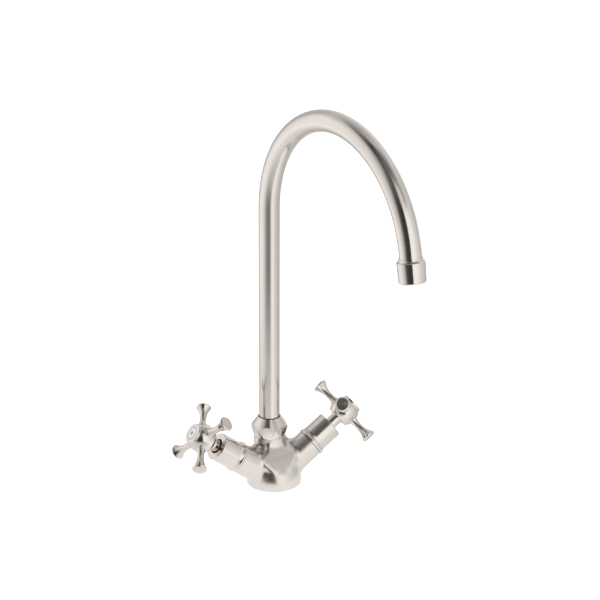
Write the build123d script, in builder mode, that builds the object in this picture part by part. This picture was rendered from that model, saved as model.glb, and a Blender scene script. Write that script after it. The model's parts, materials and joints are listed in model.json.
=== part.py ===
from build123d import *
import math
import os

# Monobloc kitchen mixer: one cast body with two valve arms and a swan neck that swivels.
# Sizes are millimetres and degrees. The origin is the centre of the base on the worktop,
# +Z is up, the front is -Y, and the hot and cold arms lie toward -X and +X.

# Gaps between pieces, and the small chamfer on turned edges
screw_gap = 0.05  # radial gap of screwed, brazed and pressed seats
running_gap = 0.05  # radial and axial gap of pieces that turn on each other
seam_gap = 0.2  # shadow line where a cover meets the casting
edge_chamfer = 0.5

# Base and blends of the casting
base_diameter = 52.4
base_foot_radius = 1.2
base_wall_height = 4.5
base_shoulder_radius = 13.0
blend_radius = 6.5

# Base seal, water inlets and fixing stud
seal_outer_diameter = 48.0
seal_width = 3.0
seal_depth = 2.0
inlet_thread_diameter = 10.0
inlet_thread_depth = 12.0
inlet_spacing = 22.0
stud_thread_diameter = 8.0
stud_thread_depth = 11.0
stud_setback = 13.0

# Neck behind the middle of the base, with its bore and thread for the spout nut
neck_setback = 10.5
neck_height = 45.6
neck_step = 2.2
neck_thread_wall = 2.0
neck_thread_length = 8.6
chamber_floor_height = 21.0
waterway_height = 29.0
waterway_diameter = 6.0
waterway_reach = 25.0

# Valve arms
arm_rise = 36.1
crossing_height = 5.0
arm_length = 48.0
arm_diameter = 28.4
arm_edge_chamfer = 0.4
supply_diameter = 7.0
supply_start = 9.0

# Swan neck tube
spout_turn = 9.5  # rest position, from straight ahead toward the cold side
tube_diameter = 20.0
tube_wall = 1.0
bend_start_height = 275.0
bend_radius = 107.3
bend_sweep = 170.6
outlet_lead = 2.0
outlet_seat = 5.0

# Spigot brazed on the foot of the tube
spigot_wall = 0.9
spigot_length = 22.6
spigot_below_tube = 9.6
spigot_lip = 2.0
spigot_flange_width = 1.8
spigot_flange_thickness = 2.0
bearing_thickness = 1.0

# Spout nut, a hexagon turned to two cones
nut_wall = 2.6
nut_turn = 41.0
nut_ridge_rise = 9.4
nut_lip_height = 3.6
nut_lip_width = 1.3
nut_bore_gap = 0.3

# Nozzle ring and aerator
nozzle_thread_wall = 1.0
nozzle_wall = 1.65
nozzle_shoulder_length = 3.8
nozzle_shoulder_start = 0.45
nozzle_length = 22.3
nozzle_taper = 0.45
nozzle_edge_radius = 1.6
washer_thickness = 2.0
washer_width = 2.6
aerator_length = 12.6
aerator_wall = 1.4
plate_inset = 2.4
plate_thickness = 1.6
plate_hole_diameter = 1.4
plate_hole_rings = (3.0, 6.0)
plate_holes_per_ring = 8
screen_inset = 1.0
screen_thickness = 1.2
screen_pitch = 2.4
screen_bar = 0.7

# O-rings
large_ring_section = 1.7
small_ring_section = 1.3
valve_ring_section = 1.6
groove_slack = 0.3

# Valve in each arm, listed from its seat toward the handle
seat_depth = 22.0
seat_seal_thickness = 1.6
seat_seal_bore = 12.2
ceramic_diameter = 15.0
ceramic_thickness = 3.0
port_radius = 4.5
port_width = 2.8
port_span = 50.0
driver_thickness = 2.8
tongue_width = 2.6
tongue_length = 12.0
tongue_height = 1.2
thrust_washer_thickness = 0.6
skirt_wall = 1.3
skirt_water_gap = 1.0
window_width = 7.0
window_height = 3.6
valve_thread_diameter = 20.8
valve_thread_length = 8.5
valve_relief = 0.5
valve_flange_thickness = 1.6
hexagon_across_flats = 20.0
hexagon_height = 6.5
stem_diameter = 14.0
stem_length = 12.0
shaft_diameter = 9.6
shaft_groove_pitch = 4.0
shaft_groove_drop = 5.0
clip_thickness = 0.9
clip_depth = 0.7
clip_width = 2.2
clip_opening = 70.0
clip_land = 0.9
spline_diameter = 8.0
spline_teeth = 20
spline_depth = 0.4

# Bonnet over the valve
bonnet_diameter = 26.8
bonnet_wall = 1.2
bonnet_length = 26.1
bonnet_end_wall = 2.5
bonnet_edge_radius = 0.8
bonnet_bore_gap = 1.3
foot_diameter = 30.0
foot_rim_height = 1.8
foot_cove_height = 5.0

# Handle hub and its four arms
hub_diameter = 28.0
hub_standoff = 18.7  # from the end of the bonnet to the middle of the hub
hub_back_length = 9.0
hub_front_length = 9.5
hub_neck_diameter = 12.0
hub_neck_gap = 0.4
hub_spline_margin = 7.0
hub_web_thickness = 4.0
screw_bore_slack = 0.4
handle_screw_diameter = 4.0
handle_screw_length = 12.0
screw_head_diameter = 7.2
screw_head_height = 2.6
screw_slot_width = 1.0
screw_slot_depth = 1.2
counterbore_diameter = 9.6
hot_handle_turn = 48.8  # rest angles of the two crosses about their own arms
cold_handle_turn = -45.8
handle_reach = 36.0
handle_seat_radius = 13.2
handle_base_diameter = 8.6
handle_waist_diameter = 6.2
handle_waist_reach = 20.5
handle_flare_reach = 26.5
handle_flare_diameter = 7.4
handle_rim_diameter = 14.4
handle_rim_inset = 2.0
handle_face_diameter = 11.4
handle_face_dome = 0.3
handle_thread_diameter = 4.8
handle_thread_length = 4.6

# Index ring and button
index_diameter = 20.0
index_thickness = 2.4
index_boss_diameter = 15.0
index_boss_length = 3.0
index_rim_width = 1.4
index_edge_radius = 0.7
button_depth = 1.5
button_dome = 0.5

# Sizes that follow from the ones above
spigot_diameter = tube_diameter + 2 * spigot_wall
neck_bore_diameter = spigot_diameter + 2 * running_gap
neck_thread_diameter = neck_bore_diameter + 2 * neck_thread_wall
neck_diameter = neck_thread_diameter + 2 * neck_step
neck_top = neck_height + neck_thread_length
flange_diameter = neck_bore_diameter + 2 * spigot_flange_width
flange_bottom = neck_top + bearing_thickness + running_gap
flange_top = flange_bottom + spigot_flange_thickness
nut_shelf = flange_top + running_gap + bearing_thickness
spigot_bottom = flange_bottom - spigot_length
tube_foot = spigot_bottom + spigot_below_tube
nut_flats = neck_thread_diameter + 2 * nut_wall
nut_bore_diameter = tube_diameter + 2 * nut_bore_gap
nozzle_thread_diameter = tube_diameter + 2 * nozzle_thread_wall
nozzle_diameter = nozzle_thread_diameter + 2 * nozzle_wall

seat_place = arm_length - seat_depth
fixed_disc_place = seat_place + seat_seal_thickness
moving_disc_place = fixed_disc_place + ceramic_thickness + running_gap
driver_place = moving_disc_place + ceramic_thickness + running_gap
washer_place = driver_place + driver_thickness + running_gap
shoulder_place = washer_place + thrust_washer_thickness
skirt_bore_diameter = ceramic_diameter + 2 * running_gap
skirt_diameter = skirt_bore_diameter + 2 * skirt_wall
valve_chamber_diameter = skirt_diameter + 2 * skirt_water_gap
valve_tapping_diameter = valve_thread_diameter + 2 * screw_gap
relief_length = valve_ring_section + groove_slack
hexagon_place = arm_length + valve_flange_thickness
stem_place = hexagon_place + hexagon_height
stem_top = stem_place + stem_length
shaft_bore_diameter = shaft_diameter + 2 * running_gap
clip_place = stem_top + running_gap
shaft_top = clip_place + clip_thickness + clip_land
neck_place = shaft_top + hub_neck_gap

foot_place = arm_length + seam_gap
bonnet_place = foot_place + bonnet_length
bonnet_inner_diameter = bonnet_diameter - 2 * bonnet_wall
bonnet_bore_diameter = hub_neck_diameter + 2 * bonnet_bore_gap
valve_flange_diameter = bonnet_inner_diameter - 2 * screw_gap

hub_place = bonnet_place + hub_standoff
hub_back = hub_place - hub_back_length
hub_front = hub_place + hub_front_length
spindle_end = hub_place - hub_spline_margin
web_place = spindle_end + screw_gap
web_top = web_place + hub_web_thickness
screw_bore_diameter = handle_screw_diameter + screw_bore_slack
index_top = hub_front + index_thickness
index_recess_diameter = index_diameter - 2 * index_rim_width
button_place = index_top - button_depth

sides = {"hot": -1, "cold": 1}
handle_turns = {"hot": hot_handle_turn, "cold": cold_handle_turn}


def arm_frame(side):
    """The plane across a valve arm at the crossing, its z axis running up the arm."""
    rise = math.radians(arm_rise)
    up_the_arm = (sides[side] * math.cos(rise), 0, math.sin(rise))
    return Plane(origin=(0, 0, crossing_height), x_dir=(0, -1, 0), z_dir=up_the_arm)


def handle_frame(side, quarter=0):
    """The plane square to one handle arm, its z axis running out along that arm."""
    frame = arm_frame(side)
    turn = math.radians(handle_turns[side] + 90 * quarter)
    upward = Vector(0, 0, 1) - frame.z_dir * frame.z_dir.Z
    outward = frame.x_dir * math.cos(turn) + upward.normalized() * math.sin(turn)
    middle = frame.origin + frame.z_dir * hub_place
    return Plane(origin=middle, x_dir=frame.z_dir, z_dir=outward)


def spout_frame():
    """The upright plane of the swan neck: x outward, y up, from the foot of the neck."""
    turn = math.radians(spout_turn)
    outward = Vector(math.sin(turn), -math.cos(turn), 0)
    return Plane(
        origin=(0, neck_setback, 0), x_dir=outward, z_dir=outward.cross(Vector(0, 0, 1))
    )


def spout_path():
    """The centre line of the tube, from its foot to its open end."""
    with BuildLine(spout_frame()) as path:
        riser = Line((0, tube_foot), (0, bend_start_height))
        bend = CenterArc(
            (bend_radius, bend_start_height), bend_radius, start_angle=180, arc_size=-bend_sweep
        )
        Line(bend @ 1, bend @ 1 + (bend % 1) * (outlet_lead + outlet_seat))
    return path.line


def nozzle_frame():
    """The plane where the nozzle ring starts, its z axis running out of the nozzle."""
    frame = spout_frame()
    left = math.radians(180 - bend_sweep)
    reach = bend_radius * (1 + math.cos(left))
    height = bend_start_height + bend_radius * math.sin(left)
    end = frame.origin + frame.x_dir * reach + frame.y_dir * height
    outward = frame.x_dir * math.sin(left) - frame.y_dir * math.cos(left)
    return Plane(origin=end + outward * outlet_lead, x_dir=frame.z_dir, z_dir=outward)


def half_plane(frame):
    """The plane holding a frame's z axis, for outlines of (radius, distance along it)."""
    return Plane(origin=frame.origin, x_dir=frame.x_dir, z_dir=-frame.y_dir)


def axis_of(frame):
    return Axis(frame.origin, frame.z_dir)


def outline(frame, *points):
    """A flat face beside a frame's z axis with straight sides, ready to be revolved."""
    with BuildSketch(half_plane(frame)) as face:
        with BuildLine():
            Polyline(*points, close=True)
        make_face()
    return face.sketch


def ring_outline(frame, bore, diameter, start, end):
    """The section of a plain ring, tube or disc."""
    return outline(
        frame,
        (bore / 2, start),
        (diameter / 2, start),
        (diameter / 2, end),
        (bore / 2, end),
    )


def cord_outline(frame, inner_diameter, section, middle):
    """The round section of an O-ring, given its inner diameter and where it lies."""
    with BuildSketch(half_plane(frame)) as face:
        with Locations((inner_diameter / 2 + section / 2, middle)):
            Circle(section / 2)
    return face.sketch


def save(piece, name):
    piece.part.label = name
    export_step(piece.part, f"parts/{name}.step")


# Cast body: base, neck and two arms, with its bores, waterways and underside
def make_body():
    with BuildPart() as body:
        with BuildSketch(Plane.XZ):
            with BuildLine():
                sole = Line((0, 0), (base_diameter / 2 - base_foot_radius, 0))
                foot = RadiusArc(sole @ 1, (base_diameter / 2, base_foot_radius), -base_foot_radius)
                wall = Line(foot @ 1, (base_diameter / 2, base_wall_height))
                shoulder = RadiusArc(
                    wall @ 1,
                    (
                        base_diameter / 2 - base_shoulder_radius,
                        base_wall_height + base_shoulder_radius,
                    ),
                    -base_shoulder_radius,
                )
                deck = Line(shoulder @ 1, (0, base_wall_height + base_shoulder_radius))
                Line(deck @ 1, (0, 0))
            make_face()
        revolve(axis=Axis.Z)
        for side in sides:
            with BuildSketch(arm_frame(side)):
                Circle(arm_diameter / 2)
            extrude(amount=arm_length)
        with BuildSketch(Plane.XY.offset(base_wall_height)):
            with Locations((0, neck_setback)):
                Circle(neck_diameter / 2)
        extrude(amount=neck_height - base_wall_height)
        split(bisect_by=Plane.XY, keep=Keep.TOP)
        hollows = body.edges().filter_by(
            lambda edge: edge.geom_type in (GeomType.BSPLINE, GeomType.ELLIPSE)
            and edge.center().Z > base_foot_radius
        )
        fillet(hollows, radius=blend_radius)
        with BuildSketch(Plane.XY.offset(neck_height)):
            with Locations((0, neck_setback)):
                Circle(neck_thread_diameter / 2)
        extrude(amount=neck_thread_length)
        with BuildSketch(Plane.XY.offset(chamber_floor_height)):
            with Locations((0, neck_setback)):
                Circle(neck_bore_diameter / 2)
        extrude(amount=neck_top - chamber_floor_height, mode=Mode.SUBTRACT)
        for side in sides:
            frame = arm_frame(side)
            arm_end = body.edges().filter_by(GeomType.CIRCLE).sort_by(axis_of(frame))[-1]
            chamfer(arm_end, length=arm_edge_chamfer)
            ring_seat = valve_thread_diameter - 2 * valve_relief + 2 * valve_ring_section
            revolve(
                outline(
                    frame,
                    (0, supply_start),
                    (supply_diameter / 2, supply_start),
                    (supply_diameter / 2, seat_place),
                    (valve_chamber_diameter / 2, seat_place),
                    (valve_chamber_diameter / 2, arm_length - valve_thread_length - relief_length),
                    (valve_tapping_diameter / 2, arm_length - valve_thread_length - relief_length),
                    (valve_tapping_diameter / 2, arm_length - relief_length),
                    (ring_seat / 2 + running_gap, arm_length - relief_length),
                    (ring_seat / 2 + running_gap, arm_length),
                    (0, arm_length),
                ),
                axis=axis_of(frame),
                mode=Mode.SUBTRACT,
            )
            inner_end = Vector(0, neck_setback, waterway_height)
            outer_end = Vector(sides[side] * waterway_reach, 0, waterway_height)
            with BuildSketch(Plane(origin=inner_end, z_dir=outer_end - inner_end)):
                Circle(waterway_diameter / 2)
            extrude(amount=(outer_end - inner_end).length, mode=Mode.SUBTRACT)
        with BuildSketch(Plane.XY):
            with GridLocations(inlet_spacing, 0, 2, 1):
                Circle(inlet_thread_diameter / 2)
        extrude(amount=inlet_thread_depth, mode=Mode.SUBTRACT)
        with BuildSketch(Plane.XY):
            with Locations((0, stud_setback)):
                Circle(stud_thread_diameter / 2)
        extrude(amount=stud_thread_depth, mode=Mode.SUBTRACT)
        with BuildSketch(Plane.XY):
            Circle(seal_outer_diameter / 2 + running_gap)
            Circle(seal_outer_diameter / 2 - seal_width - running_gap, mode=Mode.SUBTRACT)
        extrude(amount=seal_depth, mode=Mode.SUBTRACT)
    save(body, "body_casting")


def make_base_seal():
    with BuildPart() as seal:
        with BuildSketch(Plane.XY):
            Circle(seal_outer_diameter / 2)
            Circle(seal_outer_diameter / 2 - seal_width, mode=Mode.SUBTRACT)
        extrude(amount=seal_depth)
    save(seal, "base_seal")


# Spout: tube, spigot with its O-rings, bearings and nut
def neck_frame():
    return Plane(origin=(0, neck_setback, 0))


def make_tube():
    with BuildPart() as tube:
        with BuildSketch(Plane(origin=(0, neck_setback, tube_foot))):
            Circle(tube_diameter / 2)
            Circle(tube_diameter / 2 - tube_wall, mode=Mode.SUBTRACT)
        sweep(path=spout_path())
    save(tube, "spout_tube")


def spigot_groove_places():
    pitch = (spigot_below_tube - spigot_lip) / 2
    width = large_ring_section + groove_slack
    return [spigot_bottom + spigot_lip + pitch * step + width / 2 for step in range(2)]


def make_spigot():
    frame = neck_frame()
    groove_bottom = neck_bore_diameter - 2 * running_gap - 2 * large_ring_section
    with BuildPart() as spigot:
        revolve(
            outline(
                frame,
                (tube_diameter / 2 - spigot_lip, spigot_bottom),
                (spigot_diameter / 2, spigot_bottom),
                (spigot_diameter / 2, flange_bottom),
                (flange_diameter / 2, flange_bottom),
                (flange_diameter / 2, flange_top),
                (tube_diameter / 2 + screw_gap, flange_top),
                (tube_diameter / 2 + screw_gap, tube_foot),
                (tube_diameter / 2 - spigot_lip, tube_foot),
            ),
            axis=axis_of(frame),
        )
        for middle in spigot_groove_places():
            half = (large_ring_section + groove_slack) / 2
            cut = ring_outline(frame, groove_bottom, neck_diameter, middle - half, middle + half)
            revolve(cut, axis=axis_of(frame), mode=Mode.SUBTRACT)
    save(spigot, "spout_spigot")


def make_spout_o_rings():
    frame = neck_frame()
    inner = neck_bore_diameter - 2 * running_gap - 2 * large_ring_section
    with BuildPart() as rings:
        for middle in spigot_groove_places():
            revolve(cord_outline(frame, inner, large_ring_section, middle), axis=axis_of(frame))
    save(rings, "spout_o_rings")


def make_bearings():
    frame = neck_frame()
    lower_bore = spigot_diameter + 4 * running_gap
    upper_bore = tube_diameter + 4 * running_gap
    with BuildPart() as lower:
        revolve(
            ring_outline(frame, lower_bore, flange_diameter, neck_top, neck_top + bearing_thickness),
            axis=axis_of(frame),
        )
    save(lower, "spout_lower_bearing")
    with BuildPart() as upper:
        revolve(
            ring_outline(
                frame, upper_bore, flange_diameter, nut_shelf - bearing_thickness, nut_shelf
            ),
            axis=axis_of(frame),
        )
    save(upper, "spout_upper_bearing")


def make_spout_nut():
    frame = neck_frame()
    ridge_place = neck_height + nut_ridge_rise
    nut_top = nut_shelf + nut_lip_height
    ridge_radius = nut_flats / math.sqrt(3)
    thread_radius = neck_thread_diameter / 2 + screw_gap
    with BuildPart() as nut:
        with BuildSketch(Plane(origin=(0, neck_setback, neck_height))):
            RegularPolygon(ridge_radius, 6, rotation=nut_turn)
        extrude(amount=nut_top - neck_height)
        revolve(
            outline(
                frame,
                (thread_radius, neck_height),
                (neck_diameter / 2, neck_height),
                (ridge_radius, ridge_place),
                (nut_bore_diameter / 2 + nut_lip_width, nut_top),
                (nut_bore_diameter / 2, nut_top),
                (nut_bore_diameter / 2, nut_shelf),
                (thread_radius, nut_shelf),
            ),
            axis=axis_of(frame),
            mode=Mode.INTERSECT,
        )
    save(nut, "spout_nut")


# Nozzle ring on the end of the tube, and the aerator screwed into it
def make_nozzle_ring():
    frame = nozzle_frame()
    tube_seat = tube_diameter / 2 + screw_gap
    lower_radius = nozzle_diameter / 2 - nozzle_taper
    with BuildPart() as ring:
        with BuildSketch(half_plane(frame)):
            with BuildLine():
                start = Line((tube_seat, 0), (tube_seat + nozzle_shoulder_start, 0))
                shoulder = TangentArc(
                    start @ 1, (nozzle_diameter / 2, nozzle_shoulder_length), tangent=(0, 1)
                )
                side = Line(shoulder @ 1, (lower_radius, nozzle_length - nozzle_edge_radius))
                edge = RadiusArc(
                    side @ 1,
                    (lower_radius - nozzle_edge_radius, nozzle_length),
                    -nozzle_edge_radius,
                )
                bore = nozzle_thread_diameter / 2
                Polyline(
                    edge @ 1,
                    (bore, nozzle_length - nozzle_edge_radius),
                    (bore, outlet_seat),
                    (tube_seat, outlet_seat),
                    start @ 0,
                )
            make_face()
        revolve(axis=axis_of(frame))
    save(ring, "nozzle_ring")


def make_aerator():
    frame = nozzle_frame()
    outer = nozzle_thread_diameter - 2 * screw_gap
    inner = outer - 2 * aerator_wall
    washer_start = outlet_seat + screw_gap
    cage_start = washer_start + washer_thickness
    cage_end = cage_start + aerator_length
    with BuildPart() as washer:
        washer_bore = outer - 2 * washer_width
        revolve(
            ring_outline(frame, washer_bore, outer, washer_start, cage_start),
            axis=axis_of(frame),
        )
    save(washer, "aerator_washer")
    ledge = inner / 2 - aerator_wall
    plate_start = cage_start + plate_inset
    plate_end = plate_start + plate_thickness
    with BuildPart() as cage:
        revolve(
            outline(
                frame,
                (inner / 2, cage_start),
                (outer / 2, cage_start),
                (outer / 2, cage_end),
                (inner / 2, cage_end),
                (inner / 2, plate_end + screen_thickness),
                (ledge, plate_end + screen_thickness),
                (ledge, plate_end),
                (inner / 2, plate_end),
            ),
            axis=axis_of(frame),
        )
    save(cage, "aerator_cage")
    fitted = inner - 2 * screw_gap
    with BuildPart() as plate:
        with BuildSketch(frame.offset(plate_start)):
            Circle(fitted / 2)
            for ring_radius in plate_hole_rings:
                with PolarLocations(ring_radius, plate_holes_per_ring):
                    Circle(plate_hole_diameter / 2, mode=Mode.SUBTRACT)
        extrude(amount=plate_thickness)
    save(plate, "aerator_flow_plate")
    window = screen_pitch - screen_bar
    count = int(fitted / screen_pitch) - 1
    with BuildPart() as screen:
        with BuildSketch(frame.offset(cage_end - screen_inset - screen_thickness)):
            Circle(fitted / 2)
            with GridLocations(screen_pitch, screen_pitch, count, count) as grid:
                spots = [
                    place.position
                    for place in grid.local_locations
                    if place.position.length + window < fitted / 2
                ]
            with Locations(*spots):
                Rectangle(window, window, mode=Mode.SUBTRACT)
        extrude(amount=screen_thickness)
    save(screen, "aerator_screen")


# Valve pieces, one set for each arm
def port_outline(frame, turn):
    """The section at the start of a curved port through a ceramic disc."""
    start = Plane(frame.location * Rotation(0, 0, turn - port_span / 2))
    inner_diameter = 2 * port_radius - port_width
    outer_diameter = 2 * port_radius + port_width
    return ring_outline(start, inner_diameter, outer_diameter, 0, ceramic_thickness)


def make_seat_seal(side):
    frame = arm_frame(side)
    with BuildPart() as seal:
        revolve(
            ring_outline(frame, seat_seal_bore, ceramic_diameter, seat_place, fixed_disc_place),
            axis=axis_of(frame),
        )
    save(seal, f"{side}_seat_seal")


def make_fixed_disc(side):
    frame = arm_frame(side).offset(fixed_disc_place)
    with BuildPart() as disc:
        with BuildSketch(frame):
            Circle(ceramic_diameter / 2)
        extrude(amount=ceramic_thickness)
        for turn in (0, 180):
            port = port_outline(frame, turn)
            revolve(port, axis=axis_of(frame), revolution_arc=port_span, mode=Mode.SUBTRACT)
    save(disc, f"{side}_fixed_disc")


def make_moving_disc(side):
    frame = arm_frame(side).offset(moving_disc_place)
    with BuildPart() as disc:
        with BuildSketch(frame):
            Circle(ceramic_diameter / 2)
        extrude(amount=ceramic_thickness)
        for turn in (90, 270):
            port = port_outline(frame, turn)
            revolve(port, axis=axis_of(frame), revolution_arc=port_span, mode=Mode.SUBTRACT)
        with BuildSketch(frame.offset(ceramic_thickness - tongue_height - screw_gap)):
            Rectangle(tongue_length + 2 * screw_gap, tongue_width + 2 * screw_gap)
        extrude(amount=ceramic_thickness, mode=Mode.SUBTRACT)
    save(disc, f"{side}_moving_disc")


def shaft_groove_places():
    first = stem_top - shaft_groove_drop
    return [first - shaft_groove_pitch * step for step in range(2)]


def spline_sketch(plane, slack):
    """A toothed round: the outline of the splines, grown by a slack on each side."""
    tip = spline_diameter / 2 + slack
    root = spline_diameter / 2 - spline_depth + slack
    points = []
    for tooth in range(2 * spline_teeth):
        angle = math.pi * tooth / spline_teeth
        radius = root if tooth % 2 else tip
        points.append((radius * math.cos(angle), radius * math.sin(angle)))
    with BuildSketch(plane) as splines:
        with BuildLine():
            Polyline(*points, close=True)
        make_face()
    return splines.sketch


def make_spindle(side):
    frame = arm_frame(side)
    axis = axis_of(frame)
    groove_bottom = shaft_bore_diameter - 2 * running_gap - 2 * small_ring_section
    with BuildPart() as spindle:
        revolve(
            outline(
                frame,
                (0, driver_place),
                (ceramic_diameter / 2 - running_gap, driver_place),
                (ceramic_diameter / 2 - running_gap, driver_place + driver_thickness),
                (shaft_diameter / 2, driver_place + driver_thickness),
                (shaft_diameter / 2, shaft_top),
                (0, shaft_top),
            ),
            axis=axis,
        )
        with BuildSketch(frame.offset(driver_place - tongue_height)):
            Rectangle(tongue_length, tongue_width)
        extrude(amount=tongue_height)
        extrude(spline_sketch(frame.offset(shaft_top), 0), amount=spindle_end - shaft_top)
        for middle in shaft_groove_places():
            half = (small_ring_section + groove_slack) / 2
            cut = ring_outline(frame, groove_bottom, stem_diameter, middle - half, middle + half)
            revolve(cut, axis=axis, mode=Mode.SUBTRACT)
        clip_cut = ring_outline(
            frame,
            shaft_diameter - 2 * clip_depth,
            stem_diameter,
            clip_place - running_gap / 2,
            clip_place + clip_thickness + running_gap / 2,
        )
        revolve(clip_cut, axis=axis, mode=Mode.SUBTRACT)
        with BuildSketch(frame.offset(spindle_end)):
            Circle(handle_screw_diameter / 2 + screw_gap)
        extrude(amount=-handle_screw_length, mode=Mode.SUBTRACT)
    save(spindle, f"{side}_spindle")


def make_spindle_o_rings(side):
    frame = arm_frame(side)
    inner = shaft_bore_diameter - 2 * running_gap - 2 * small_ring_section
    with BuildPart() as rings:
        for middle in shaft_groove_places():
            revolve(cord_outline(frame, inner, small_ring_section, middle), axis=axis_of(frame))
    save(rings, f"{side}_spindle_o_rings")


def make_thrust_washer(side):
    frame = arm_frame(side)
    with BuildPart() as washer:
        revolve(
            ring_outline(
                frame,
                shaft_bore_diameter,
                ceramic_diameter,
                washer_place,
                shoulder_place,
            ),
            axis=axis_of(frame),
        )
    save(washer, f"{side}_thrust_washer")


def make_circlip(side):
    frame = arm_frame(side)
    inner = shaft_diameter - 2 * clip_depth + 2 * screw_gap
    with BuildPart() as clip:
        revolve(
            ring_outline(
                frame,
                inner,
                inner + 2 * clip_width,
                clip_place,
                clip_place + clip_thickness,
            ),
            axis=axis_of(frame),
            revolution_arc=360 - clip_opening,
        )
    save(clip, f"{side}_circlip")


def make_valve_body(side):
    frame = arm_frame(side)
    axis = axis_of(frame)
    thread_start = arm_length - valve_thread_length - relief_length
    with BuildPart() as valve:
        revolve(
            outline(
                frame,
                (0, fixed_disc_place - tongue_height / 2),
                (skirt_diameter / 2, fixed_disc_place - tongue_height / 2),
                (skirt_diameter / 2, thread_start),
                (valve_thread_diameter / 2 - valve_relief, thread_start),
                (valve_thread_diameter / 2, thread_start + valve_relief),
                (valve_thread_diameter / 2, arm_length - relief_length),
                (valve_thread_diameter / 2 - valve_relief, arm_length - relief_length),
                (valve_thread_diameter / 2 - valve_relief, arm_length),
                (valve_flange_diameter / 2, arm_length),
                (valve_flange_diameter / 2, hexagon_place),
                (stem_diameter / 2, hexagon_place),
                (stem_diameter / 2, stem_top),
                (0, stem_top),
            ),
            axis=axis,
        )
        with BuildSketch(frame.offset(hexagon_place)):
            RegularPolygon(hexagon_across_flats / 2, 6, major_radius=False)
        extrude(amount=hexagon_height)
        revolve(
            outline(
                frame,
                (0, seat_place),
                (skirt_bore_diameter / 2, seat_place),
                (skirt_bore_diameter / 2, shoulder_place),
                (shaft_bore_diameter / 2, shoulder_place),
                (shaft_bore_diameter / 2, stem_top + clip_thickness),
                (0, stem_top + clip_thickness),
            ),
            axis=axis,
            mode=Mode.SUBTRACT,
        )
        window_plane = Plane(
            origin=frame.origin + frame.z_dir * (driver_place + window_height / 4),
            x_dir=frame.z_dir,
            z_dir=frame.x_dir,
        )
        with BuildSketch(window_plane):
            Rectangle(window_height, window_width)
        extrude(amount=valve_chamber_diameter / 2, both=True, mode=Mode.SUBTRACT)
    save(valve, f"{side}_valve_body")


def make_valve_o_ring(side):
    frame = arm_frame(side)
    inner = valve_thread_diameter - 2 * valve_relief
    with BuildPart() as ring:
        middle = arm_length - relief_length / 2
        revolve(cord_outline(frame, inner, valve_ring_section, middle), axis=axis_of(frame))
    save(ring, f"{side}_valve_o_ring")


def make_bonnet(side):
    frame = arm_frame(side)
    with BuildPart() as bonnet:
        with BuildSketch(half_plane(frame)):
            with BuildLine():
                foot = Polyline(
                    (bonnet_inner_diameter / 2, foot_place),
                    (foot_diameter / 2 - edge_chamfer, foot_place),
                    (foot_diameter / 2, foot_place + edge_chamfer),
                    (foot_diameter / 2, foot_place + foot_rim_height),
                )
                cove_top = (bonnet_diameter / 2, foot_place + foot_rim_height + foot_cove_height)
                cove = TangentArc(cove_top, foot @ 1, tangent=(0, -1))
                wall = Line(cove @ 0, (bonnet_diameter / 2, bonnet_place - bonnet_edge_radius))
                edge = RadiusArc(
                    wall @ 1,
                    (bonnet_diameter / 2 - bonnet_edge_radius, bonnet_place),
                    -bonnet_edge_radius,
                )
                bore = bonnet_bore_diameter / 2
                Polyline(
                    edge @ 1,
                    (bore + edge_chamfer, bonnet_place),
                    (bore, bonnet_place - edge_chamfer),
                    (bore, bonnet_place - bonnet_end_wall),
                    (bonnet_inner_diameter / 2, bonnet_place - bonnet_end_wall),
                    foot @ 0,
                )
            make_face()
        revolve(axis=axis_of(frame))
    save(bonnet, f"{side}_bonnet")


# Cross handle: hub, four arms, screw and index
def hub_radius_at(distance):
    return math.sqrt((hub_diameter / 2) ** 2 - distance**2)


def make_hub(side):
    frame = arm_frame(side)
    axis = axis_of(frame)
    neck_radius = hub_neck_diameter / 2
    with BuildPart() as hub:
        with BuildSketch(half_plane(frame)):
            with BuildLine():
                neck = Polyline(
                    (0, neck_place),
                    (neck_radius - edge_chamfer, neck_place),
                    (neck_radius, neck_place + edge_chamfer),
                    (neck_radius, hub_back),
                    (hub_radius_at(hub_back_length), hub_back),
                )
                ball = ThreePointArc(
                    neck @ 1,
                    (hub_diameter / 2, hub_place),
                    (hub_radius_at(hub_front_length), hub_front),
                )
                Polyline(ball @ 1, (0, hub_front), (0, neck_place))
            make_face()
        revolve(axis=axis)
        extrude(
            spline_sketch(frame.offset(neck_place), screw_gap),
            amount=web_place - neck_place,
            mode=Mode.SUBTRACT,
        )
        revolve(
            outline(
                frame,
                (0, web_place),
                (screw_bore_diameter / 2, web_place),
                (screw_bore_diameter / 2, web_top),
                (counterbore_diameter / 2, web_top),
                (counterbore_diameter / 2, hub_front - index_boss_length),
                (index_boss_diameter / 2 + screw_gap, hub_front - index_boss_length),
                (index_boss_diameter / 2 + screw_gap, hub_front),
                (0, hub_front),
            ),
            axis=axis,
            mode=Mode.SUBTRACT,
        )
        for quarter in range(4):
            spoke = handle_frame(side, quarter)
            with BuildSketch(spoke.offset(handle_seat_radius)):
                Circle(handle_base_diameter)
            extrude(amount=hub_diameter, mode=Mode.SUBTRACT)
            with BuildSketch(spoke.offset(handle_seat_radius)):
                Circle(handle_thread_diameter / 2 + screw_gap)
            extrude(amount=-handle_thread_length - screw_gap, mode=Mode.SUBTRACT)
    save(hub, f"{side}_handle_hub")


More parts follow.
